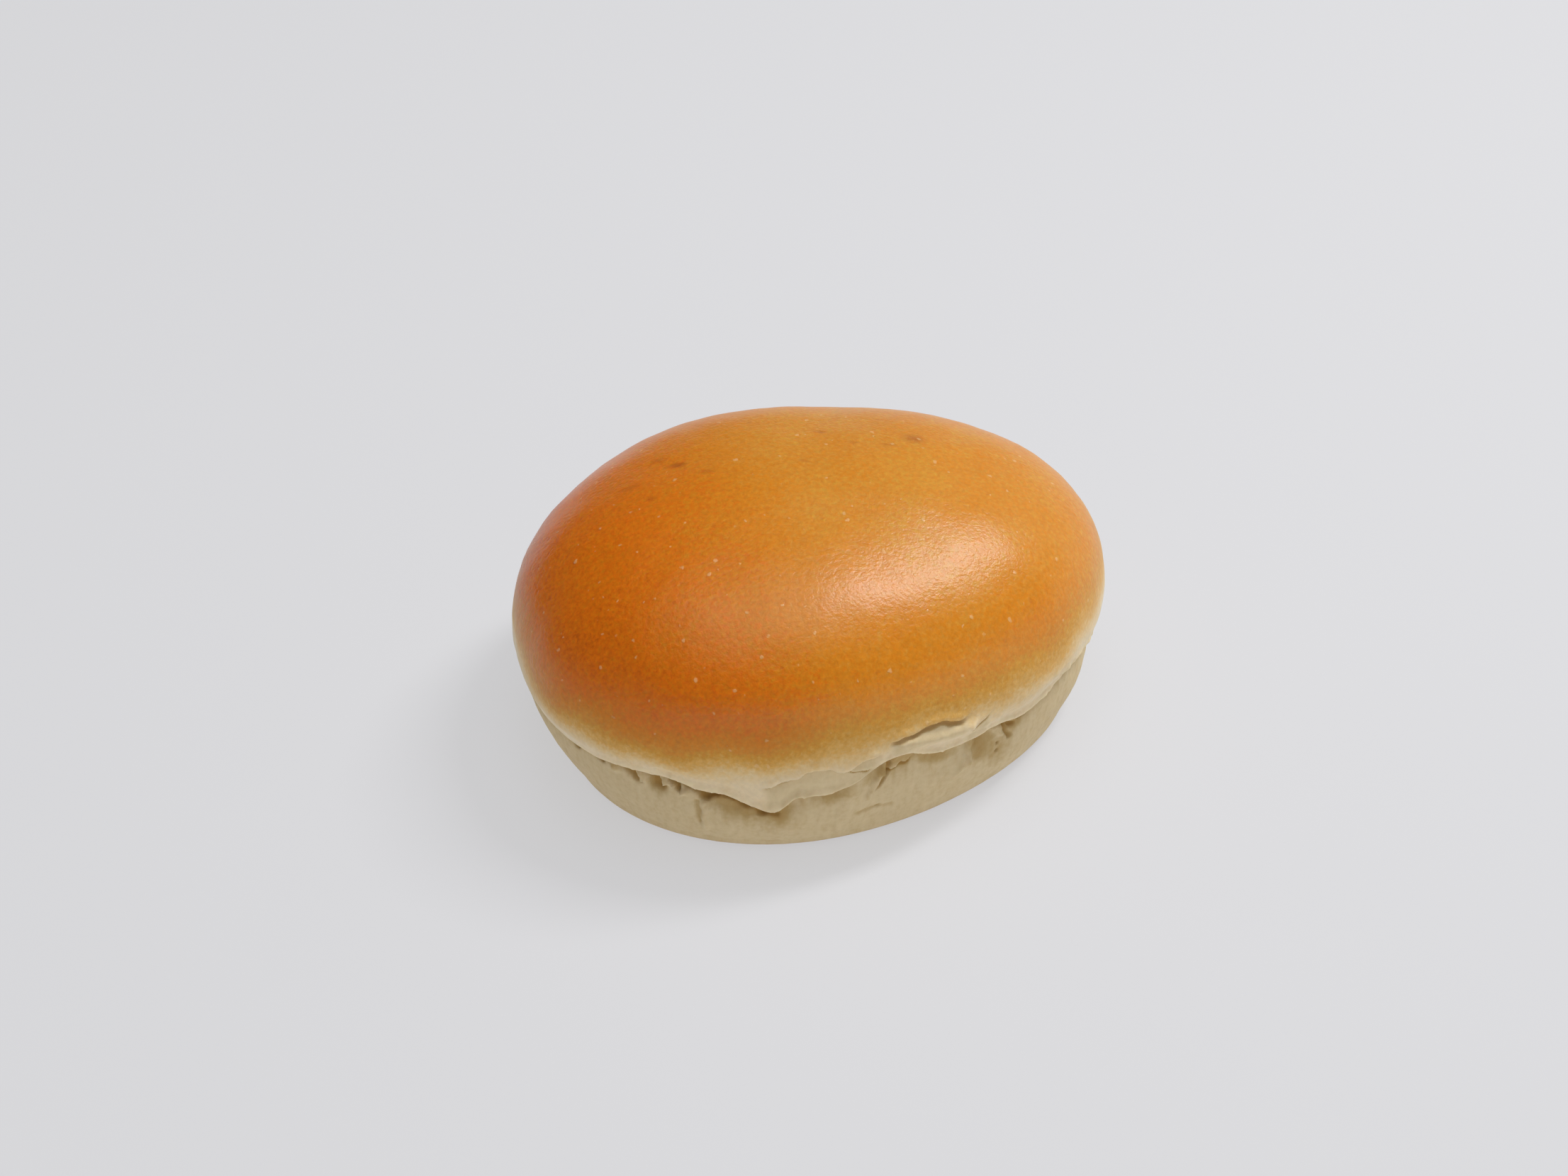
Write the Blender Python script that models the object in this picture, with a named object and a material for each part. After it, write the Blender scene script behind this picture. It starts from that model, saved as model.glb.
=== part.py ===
"""An oval soft bread roll, baked free-standing on a tray, as one solid in metres with +Z up.

The roll stands on a flat base at z = 0, and +X is its long axis. A pale side wall rises from a rounded
foot to the seam, where the glazed dome burst away from it in the oven. The dome's lower lip overhangs
the wall with a groove under it, hangs down as a tongue at the front and has short tears just above it.
The seam stays shut at the -X end.
"""

import math

import bmesh
import bpy
from mathutils import Matrix, Vector

# Overall size.
LENGTH = 0.117
WIDTH = 0.093
HEIGHT = 0.054

# Outline from above: a superellipse with slow waves, as a hand-shaped piece of dough has.
# Each wave is its count round the outline, its share of the radius and its phase in degrees.
OUTLINE_POWER = 2.2
OUTLINE_WAVES = ((3, 0.029, 5.0), (4, 0.0095, 31.0))

# Dome: its profile from the girth, where the roll is widest, to the top. A fullness of 2 is an ellipse.
GIRTH_HEIGHT = 0.0234
GIRTH_SWAY = 0.0012  # how much lower the girth is at the two ends, and higher at the two sides
DOME_FULLNESS = 2.5
TOP_SAG = 0.0006  # the shallow hollow in the middle of the top
TOP_SAG_SPREAD = 0.45  # its half length, as a share of the outline

# Lip: the dome's lower edge, which curls in below the girth and ends at the seam.
SEAM_HEIGHT = 0.0187
LIP_CURL = 0.028  # how far it has curled in at its lower edge, as a share of the outline
LIP_CURL_POWER = 1.3
LEAST_REACH = 0.0025  # the curl is spread over at least this much height
# Where the seam leaves that height: angle from +X and half width in degrees, then the rise in metres.
SEAM_SWELLS = (
    (-118.0, 5.5, -0.0036),
    (-114.5, 3.0, -0.0028),  # the tip of the tongue
    (-104.0, 8.0, -0.0030),
    (-88.0, 8.0, 0.0047),
    (-37.0, 10.0, 0.0020),
    (6.0, 15.0, -0.0008),
    (44.0, 13.0, -0.0016),
    (84.0, 10.0, 0.0021),
    (124.0, 12.0, -0.0022),
)
# Where the seam has not burst: angle and half width in degrees, then how far it is shut.
SEAM_SHUTS = ((180.0, 24.0, 1.0), (-98.0, 4.0, 0.6))

# Tears above the seam: first and last angle in degrees, the height at each, and the arch between them.
TEARS = (
    (-119.0, -90.0, 0.0196, 0.0202, 0.0042),
    (-88.0, -66.0, 0.0258, 0.0250, 0.0012),
    (50.0, 73.0, 0.0212, 0.0224, 0.0018),
    (98.0, 117.0, 0.0240, 0.0228, 0.0010),
)
TEAR_DEPTH = 0.0015
TEAR_HALF_HEIGHT = 0.0011

# Base: the groove under the lip, the side wall, its rounded foot and the flat underside.
GROOVE_SHARE = 0.923  # the groove's radius, as a share of the outline
GROOVE_RISE = 0.0008  # how far the lip hangs below the bottom of the groove
WALL_BULGE = 0.029  # how far the wall swells out between the groove and the foot
FOOT_SHARE = 0.882
FOOT_RADIUS = 0.0026
BASE_OFFSET = (0.0011, -0.0008)  # the dome has sprung a little to one side of its base

# Mesh: segments round the roll, then how many rings each stretch of the profile has, top to bottom.
SEGMENTS = 100
DOME_RINGS, LIP_RINGS, GROOVE_RINGS, WALL_RINGS, FOOT_RINGS, UNDERSIDE_RINGS = 18, 14, 3, 8, 3, 3
RINGS = DOME_RINGS + LIP_RINGS + GROOVE_RINGS + WALL_RINGS + FOOT_RINGS + UNDERSIDE_RINGS
LIP_BAND = 0.0100  # how far above the seam the rings are close together

CRUST_COLOUR = (0.60, 0.24, 0.05, 1.0)
CRUST_ROUGHNESS = 0.38


def mix(low, high, share):
    """The value that lies this share of the way from low to high."""
    return low + (high - low) * share


def swell(angle, middle, half_width):
    """1 at the middle angle and fading to 0 past the half width, all in degrees, wrapping at 360."""
    apart = (angle - middle + 180.0) % 360.0 - 180.0
    return math.exp(-((apart / half_width) ** 2))


def outline(theta):
    """The widest radius of the roll at this angle from +X, in radians."""
    along = abs(math.cos(theta) / (LENGTH / 2)) ** OUTLINE_POWER
    across = abs(math.sin(theta) / (WIDTH / 2)) ** OUTLINE_POWER
    waves = sum(share * math.cos(count * theta - math.radians(phase))
                for count, share, phase in OUTLINE_WAVES)
    return (along + across) ** (-1 / OUTLINE_POWER) * (1 + waves)


def seam_height(theta):
    """The height of the lip's lower edge at this angle."""
    angle = math.degrees(theta)
    return SEAM_HEIGHT + sum(rise * swell(angle, middle, width) for middle, width, rise in SEAM_SWELLS)


def seam_shut(theta):
    """How far the seam has stayed shut at this angle, from 0 to 1."""
    angle = math.degrees(theta)
    return max(share * swell(angle, middle, width) for middle, width, share in SEAM_SHUTS)


def crust_share(theta, height):
    """The crust's radius at this height, as a share of the outline: the dome and, below it, the lip."""
    girth = GIRTH_HEIGHT - GIRTH_SWAY * math.cos(2 * theta)
    if height >= girth:
        return math.sqrt(max(0.0, 1 - ((height - girth) / (HEIGHT - girth)) ** DOME_FULLNESS))
    reach = max(girth - seam_height(theta), LEAST_REACH)
    return 1 - LIP_CURL * ((girth - height) / reach) ** LIP_CURL_POWER


def tear_depth(theta, height):
    """How deep the tears above the seam cut into the crust here."""
    angle = math.degrees(theta)
    depth = 0.0
    for first, last, first_height, last_height, arch in TEARS:
        share = (angle - first) / (last - first)
        if 0 < share < 1:
            hump = math.sin(math.pi * share)
            line = mix(first_height, last_height, share) + arch * hump
            depth += TEAR_DEPTH * hump * math.exp(-(((height - line) / TEAR_HALF_HEIGHT) ** 2))
    return depth


def crust_point(theta, height):
    """The point of the crust at this angle and height."""
    radius = outline(theta) * crust_share(theta, height) - tear_depth(theta, height)
    across = crust_share(theta, height)
    sag = TOP_SAG * math.exp(-((across / TOP_SAG_SPREAD) ** 2))
    return Vector((radius * math.cos(theta), radius * math.sin(theta), height - sag))


def base_point(theta, share, height):
    """The point of the base at this angle and height, this share of the way from the groove to the foot."""
    shut = seam_shut(theta)
    groove = mix(GROOVE_SHARE, crust_share(theta, seam_height(theta)), shut)
    bulge = WALL_BULGE * mix(1.0, 0.6, shut) * math.sin(math.pi * share) ** 0.8 if 0 < share < 1 else 0.0
    radius = outline(theta) * (mix(groove, FOOT_SHARE, share) + bulge)
    sideways = 1 - shut * (1 - share)
    return Vector((radius * math.cos(theta) + BASE_OFFSET[0] * sideways,
                   radius * math.sin(theta) + BASE_OFFSET[1] * sideways, height))


def profile_point(ring, theta):
    """The point of a ring, counted from the top, at this angle."""
    seam = seam_height(theta)
    shoulder = seam + LIP_BAND
    if ring <= DOME_RINGS:
        return crust_point(theta, mix(shoulder, HEIGHT, math.cos(ring / DOME_RINGS * math.pi / 2)))
    ring -= DOME_RINGS
    if ring <= LIP_RINGS:
        return crust_point(theta, mix(shoulder, seam, ring / LIP_RINGS))
    ring -= LIP_RINGS
    groove = seam + GROOVE_RISE * (1 - seam_shut(theta))
    if ring <= GROOVE_RINGS:
        share = ring / GROOVE_RINGS
        point = crust_point(theta, seam).lerp(base_point(theta, 0.0, seam), share)
        point.z = mix(seam, groove, math.sin(share * math.pi / 2))
        return point
    ring -= GROOVE_RINGS
    if ring <= WALL_RINGS:
        share = (ring / WALL_RINGS) ** 1.3
        return base_point(theta, share, mix(groove, FOOT_RADIUS, share))
    ring -= WALL_RINGS
    foot = base_point(theta, 1.0, 0.0)
    inward = Vector((-math.cos(theta), -math.sin(theta), 0.0)) * FOOT_RADIUS
    if ring <= FOOT_RINGS:
        turn = ring / FOOT_RINGS * math.pi / 2
        return foot + inward * (1 - math.cos(turn)) + Vector((0.0, 0.0, FOOT_RADIUS * (1 - math.sin(turn))))
    ring -= FOOT_RINGS
    centre = Vector((BASE_OFFSET[0], BASE_OFFSET[1], 0.0))
    return (foot + inward).lerp(centre, ring / UNDERSIDE_RINGS)


def fit_to_size(bm):
    """Moves and scales the body so that it fills LENGTH x WIDTH x HEIGHT, centred over the origin."""
    low = Vector([min(v.co[axis] for v in bm.verts) for axis in range(3)])
    high = Vector([max(v.co[axis] for v in bm.verts) for axis in range(3)])
    size = high - low
    centre = Vector(((low.x + high.x) / 2, (low.y + high.y) / 2, low.z))
    scale = Matrix.Diagonal((LENGTH / size.x, WIDTH / size.y, HEIGHT / size.z, 1.0))
    bmesh.ops.transform(bm, matrix=scale @ Matrix.Translation(-centre), verts=bm.verts)


def crust_material():
    """The glazed, browned crust."""
    material = bpy.data.materials.new("crust")
    material.use_nodes = True
    shader = material.node_tree.nodes["Principled BSDF"]
    shader.inputs["Base Color"].default_value = CRUST_COLOUR
    shader.inputs["Roughness"].default_value = CRUST_ROUGHNESS
    shader.inputs["Metallic"].default_value = 0.0
    return material


def make_roll(collection):
    """The roll: a sphere whose rings are moved onto the profile."""
    bm = bmesh.new()
    bmesh.ops.create_uvsphere(bm, u_segments=SEGMENTS, v_segments=RINGS, radius=1.0)
    for vertex in bm.verts:
        direction = vertex.co.normalized()
        theta = math.atan2(direction.y, direction.x)
        ring = round(math.acos(max(-1.0, min(1.0, direction.z))) / math.pi * RINGS)
        vertex.co = profile_point(ring, theta)
    fit_to_size(bm)
    bmesh.ops.recalc_face_normals(bm, faces=bm.faces)
    mesh = bpy.data.meshes.new("bread_roll")
    bm.to_mesh(mesh)
    bm.free()
    mesh.shade_smooth()
    roll = bpy.data.objects.new("bread_roll", mesh)
    roll.data.materials.append(crust_material())
    collection.objects.link(roll)
    return roll


def clear_scene():
    """Removes the objects that the scene starts with."""
    for found in list(bpy.data.objects):
        bpy.data.objects.remove(found, do_unlink=True)


def main():
    """Builds the roll in a collection of its own."""
    clear_scene()
    collection = bpy.data.collections.new("bread_roll")
    bpy.context.scene.collection.children.link(collection)
    make_roll(collection)


main()
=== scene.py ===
"""Looks of an oval soft bread roll: a glazed, browned dome that has burst away from its pale side wall.

The roll is one closed piece. Its form is worked out ring by ring, from the top of the dome down to the
middle of the underside, and then torn, pitted and strung with crumb along the burst seam. Four numbers
kept on every point, how browned it is, how far it is bare torn crumb, how much shade is painted on it
and how far it is tray base, drive its one material.
Lengths are in millimetres until the mesh is placed. Angles run round the roll from +X, in degrees.
"""

from __future__ import annotations

import logging
import math
from dataclasses import dataclass, field
from enum import Enum

import bmesh
import bpy
import numpy as np
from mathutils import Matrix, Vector, noise

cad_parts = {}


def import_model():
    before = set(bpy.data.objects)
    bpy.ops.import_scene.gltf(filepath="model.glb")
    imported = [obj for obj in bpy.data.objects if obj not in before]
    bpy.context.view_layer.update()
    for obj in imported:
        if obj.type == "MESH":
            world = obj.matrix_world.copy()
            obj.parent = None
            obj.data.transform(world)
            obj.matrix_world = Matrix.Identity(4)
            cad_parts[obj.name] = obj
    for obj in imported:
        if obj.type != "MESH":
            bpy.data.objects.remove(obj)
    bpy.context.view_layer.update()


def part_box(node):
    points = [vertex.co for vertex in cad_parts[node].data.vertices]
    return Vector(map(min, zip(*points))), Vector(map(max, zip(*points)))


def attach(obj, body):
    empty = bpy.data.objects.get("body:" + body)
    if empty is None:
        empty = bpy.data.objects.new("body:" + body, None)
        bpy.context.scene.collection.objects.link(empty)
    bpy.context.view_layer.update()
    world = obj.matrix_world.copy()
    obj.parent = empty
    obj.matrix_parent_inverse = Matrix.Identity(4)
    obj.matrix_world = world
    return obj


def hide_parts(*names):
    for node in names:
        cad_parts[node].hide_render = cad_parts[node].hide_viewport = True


LOG = logging.getLogger("bread_roll")
NODE = "bread_roll"
MM = 0.001
Array = np.ndarray


# ---------------------------------------------------------------- small helpers


def mix(low: Array | float, high: Array | float, share: Array | float) -> Array | float:
    """The value that lies this share of the way from low to high."""
    return low + (high - low) * share


def smooth(value: Array, low: float, high: float) -> Array:
    """Rises smoothly from 0 at low to 1 at high."""
    share = np.clip((value - low) / (high - low), 0.0, 1.0)
    return share * share * (3.0 - 2.0 * share)


def apart(angle: Array, middle: float) -> Array:
    """The angle from middle, in degrees, from -180 to 180."""
    return (angle - middle + 180.0) % 360.0 - 180.0


def swell(angle: Array, middle: float, half_width: float) -> Array:
    """1 at the middle angle, fading to 0 past the half width."""
    return np.exp(-((apart(angle, middle) / half_width) ** 2))


def through(points: tuple[tuple[float, float], ...], angle: Array) -> Array:
    """The smooth closed curve through (angle, value) points.

    Args:
        points: (angle, value) pairs in order round the roll.
        angle: The angles to read the curve at.

    Returns:
        The value at each angle, by a cubic whose slope at a point is that between its neighbours.
    """
    angles = np.array([p[0] for p in points])
    values = np.array([p[1] for p in points])
    angles = np.concatenate([angles[-2:] - 360.0, angles, angles[:2] + 360.0])
    values = np.concatenate([values[-2:], values, values[:2]])
    slopes = np.gradient(values, angles)
    start = angles[1]
    at = (angle - start) % 360.0 + start
    left = np.clip(np.searchsorted(angles, at) - 1, 0, len(angles) - 2)
    gap = angles[left + 1] - angles[left]
    t = (at - angles[left]) / gap
    return ((2 * t**3 - 3 * t**2 + 1) * values[left] + (t**3 - 2 * t**2 + t) * gap * slopes[left]
            + (3 * t**2 - 2 * t**3) * values[left + 1] + (t**3 - t**2) * gap * slopes[left + 1])


def grain(points: Array, size: tuple[float, float, float], seed: float) -> Array:
    """Smooth noise from about -1 to 1 at each point, with features of about this size in millimetres."""
    scaled = points / np.array(size) + seed
    return np.fromiter((noise.noise(Vector(p)) for p in scaled), float, len(points)) * 1.6


# ---------------------------------------------------------------- the form


class Band(Enum):
    """The stretches of the profile from the top of the dome to the middle of the underside, with their rings."""

    DOME = 30
    LIP = 51
    EDGE = 6
    GROOVE = 8
    WALL = 55
    FOOT = 7
    UNDERSIDE = 9


RINGS = sum(band.value for band in Band)


@dataclass
class RollForm:
    """The roll's smooth form: how far out and how high each ring lies at each angle.

    The dome's profile runs from the top to the girth and curls in below it to the lip's round edge. Under
    the lip a groove runs round the top of the side wall, which ends in a rounded foot.
    """

    length: float
    width: float
    height: float
    outline_power: float = 2.2
    outline_waves: tuple[tuple[int, float, float], ...] = ((3, 0.029, 5.0), (4, 0.0095, 31.0))
    girth_height: float = 23.4
    girth_sway: float = 1.2
    dome_fullness: float = 2.5
    top_sag: float = 0.6
    top_sag_spread: float = 0.45
    lip_curl: float = 0.028
    lip_curl_power: float = 1.3
    lip_round: float = 0.8
    lip_band: float = 12.0
    groove_share: float = 0.915
    groove_rise: float = 0.8
    wall_bulge: float = 0.029
    foot_share: float = 0.882
    foot_round: float = 2.6
    base_offset: tuple[float, float] = (1.1, -0.8)
    # The lip's lower edge, as (angle, height). The front is from -165 to -25.
    seam_line: tuple[tuple[float, float], ...] = (
        (-178, 18.4), (-162, 19.3), (-150, 19.8), (-144.5, 20.3), (-140, 20.2), (-135.5, 19.5),
        (-131, 18.1), (-126.5, 17.8), (-122.6, 16.2), (-119, 14.5), (-116.2, 13.2), (-113.8, 13.9),
        (-111.2, 15.9), (-107.8, 16.3), (-103.5, 16.2), (-98, 17.6), (-92.5, 20.6), (-89, 22.2),
        (-85.5, 22.3), (-82.6, 21.4), (-79.5, 19.9), (-76.1, 18.9), (-71, 18.5), (-65.6, 18.6), (-60.6, 19.1),
        (-57.5, 18.8), (-53.5, 17.9), (-47, 18.1), (-43.5, 18.8), (-38.4, 20.4), (-33.5, 20.4), (-25, 19.0),
        (-14, 18.3),
        (5, 17.9), (22, 18.5), (38, 17.0), (50, 17.2), (66, 19.4), (84, 20.6), (97, 19.0),
        (110, 17.3), (124, 16.5), (140, 18.0), (160, 18.3),
    )
    # Where the seam has not burst, as (angle, half width, how far it is shut).
    seam_shuts: tuple[tuple[float, float, float], ...] = ((180.0, 20.0, 1.0), (-97.0, 4.5, 0.85))

    def outline(self, angle: Array) -> Array:
        """The widest radius at each angle."""
        theta = np.radians(angle)
        along = np.abs(np.cos(theta) / (self.length / 2)) ** self.outline_power
        across = np.abs(np.sin(theta) / (self.width / 2)) ** self.outline_power
        waves = sum(share * np.cos(count * theta - math.radians(phase))
                    for count, share, phase in self.outline_waves)
        return (along + across) ** (-1 / self.outline_power) * (1 + waves)

    def arc(self, angle: Array) -> Array:
        """The distance round the girth from -180 degrees to each angle."""
        steps = np.linspace(-180.0, 180.0, 721)
        x = self.outline(steps) * np.cos(np.radians(steps))
        y = self.outline(steps) * np.sin(np.radians(steps))
        run = np.concatenate([[0.0], np.cumsum(np.hypot(np.diff(x), np.diff(y)))])
        return np.interp(angle, steps, run)

    def seam(self, angle: Array) -> Array:
        """The height of the lip's lower edge."""
        return through(self.seam_line, angle)

    def shut(self, angle: Array) -> Array:
        """How far the seam has stayed shut, from 0 to 1."""
        return np.max([share * swell(angle, middle, width) for middle, width, share in self.seam_shuts], axis=0)

    def girth(self, angle: Array) -> Array:
        """The height of the widest ring."""
        return self.girth_height - self.girth_sway * np.cos(2 * np.radians(angle))

    def crust_share(self, angle: Array, height: Array) -> Array:
        """The crust's radius at each angle and height, as a share of the outline."""
        girth = self.girth(angle)
        rise = np.clip((height - girth) / (self.height - girth), 0.0, 1.0)
        dome = np.sqrt(1 - rise**self.dome_fullness)
        reach = np.maximum(girth - self.seam(angle), 3.0)
        drop = np.clip((girth - height) / reach, 0.0, 1.5)
        return np.where(height >= girth, dome, 1 - self.lip_curl * drop**self.lip_curl_power)

    def place(self, ring: Array, angle: Array) -> Array:
        """Where the rings lie.

        Args:
            ring: Each point's ring, counted from the top.
            angle: Each point's angle.

        Returns:
            One row of x, y and z for each point, in millimetres, before the roll is centred.
        """
        outline, seam, shut = self.outline(angle), self.seam(angle), self.shut(angle)
        shoulder, bead = seam + self.lip_band, seam + self.lip_round
        lip = outline * self.crust_share(angle, bead)
        groove = mix(outline * self.groove_share, lip, shut)
        groove_height = seam + self.groove_rise * (1 - shut)
        foot = outline * self.foot_share
        radius, height, offset = np.zeros_like(angle), np.zeros_like(angle), np.zeros_like(angle)
        first = 0
        for band in Band:
            last = first + band.value
            here = (ring > first) & (ring <= last) if first else ring <= last
            share = np.clip((ring - first) / band.value, 0.0, 1.0)
            if band is Band.DOME:
                z = mix(shoulder, self.height, np.cos(share * math.pi / 2))
                out = self.crust_share(angle, z)
                z = z - self.top_sag * np.exp(-((out / self.top_sag_spread) ** 2))
                r = outline * out
                off = np.zeros_like(r)
            elif band is Band.LIP:
                z = mix(shoulder, bead, share)
                r = outline * self.crust_share(angle, z)
                off = np.zeros_like(r)
            elif band is Band.EDGE:
                turn = share * math.pi / 2
                z = mix(bead - self.lip_round * np.sin(turn), bead - self.lip_round * share, shut)
                r = lip - self.lip_round * (1 - np.cos(turn)) * (1 - shut)
                off = np.zeros_like(r)
            elif band is Band.GROOVE:
                z = mix(seam, groove_height, np.sin(share * math.pi / 2))
                r = mix(lip - self.lip_round * (1 - shut), groove, share)
                off = share * (1 - shut)
            elif band is Band.WALL:
                down = share**1.15
                z = mix(groove_height, self.foot_round, down)
                bulge = self.wall_bulge * mix(1.0, 0.6, shut) * np.sin(math.pi * down) ** 0.8
                r = mix(groove, foot, down) + outline * bulge
                off = 1 - shut * (1 - down)
            elif band is Band.FOOT:
                turn = share * math.pi / 2
                z = self.foot_round * (1 - np.sin(turn))
                r = foot - self.foot_round * (1 - np.cos(turn))
                off = np.ones_like(r)
            else:
                z = np.zeros_like(angle)
                r = (foot - self.foot_round) * (1 - share)
                off = np.ones_like(r)
            radius, height, offset = (np.where(here, r, radius), np.where(here, z, height),
                                      np.where(here, off, offset))
            first = last
        theta = np.radians(angle)
        return np.stack([radius * np.cos(theta) + self.base_offset[0] * offset,
                         radius * np.sin(theta) + self.base_offset[1] * offset, height], axis=1)


# ---------------------------------------------------------------- the burst seam


class Side(Enum):
    """Which of the two surfaces that meet at the seam a mark is on."""

    CRUST = "crust"
    WALL = "wall"


@dataclass(frozen=True)
class Tear:
    """A tear in the skin: its upper edge hangs over a slot painted with deep shade, and below that the crumb is set
    back, with lighter painted shade.

    Attributes:
        line: (angle, height) points of the upper edge.
        slot: How deep the slot is.
        gape: How far the slot gapes.
        back: How far the crumb below the slot is set back.
        run: How far down it takes to come out again.
        hang: How far the upper edge droops and stands out over the slot.
        side: The surface that is torn.
    """

    line: tuple[tuple[float, float], ...]
    slot: float = 2.0
    gape: float = 0.9
    back: float = 0.6
    run: float = 2.5
    hang: float = 0.5
    side: Side = Side.CRUST

    def height(self, angle: Array) -> Array:
        """The edge's height at each angle."""
        return np.interp(angle, [p[0] for p in self.line], [p[1] for p in self.line])

    def presence(self, angle: Array) -> Array:
        """1 along the tear, fading to 0 at both of its ends."""
        first, last = self.line[0][0], self.line[-1][0]
        fade = min(2.5, 0.25 * (last - first))
        return smooth(angle, first, first + fade) * (1 - smooth(angle, last - fade, last))


@dataclass(frozen=True)
class Stroke:
    """A round-bottomed mark between two places: a strand or lump of crumb, or a pit if its rise is negative. A pit is
    painted with shade, and a strand or lump is painted lighter.

    Attributes:
        start: (angle, height) of one end.
        end: (angle, height) of the other end.
        half_width: Its half width.
        rise: How far it stands out.
        side: The surface that it is on.
    """

    start: tuple[float, float]
    end: tuple[float, float]
    half_width: float
    rise: float
    side: Side = Side.WALL

    def profile(self, gap: Array) -> Array:
        """How strong the mark is at each distance from its middle line, counted in half widths."""
        steep = self.rise < 0 and self.half_width < 1.5
        return 1 - smooth(gap, 0.4, 1.3) if steep else np.exp(-(gap**2))


@dataclass
class Marks:
    """What the marks on a surface do to each of its points.

    Attributes:
        out: How far it moves out.
        down: How far it moves down.
        bare: How far it is bare torn crumb.
        painted_shade: How much shade is painted on it, in slots, pits and set-back crumb.
    """

    out: Array
    down: Array
    bare: Array
    painted_shade: Array


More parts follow.
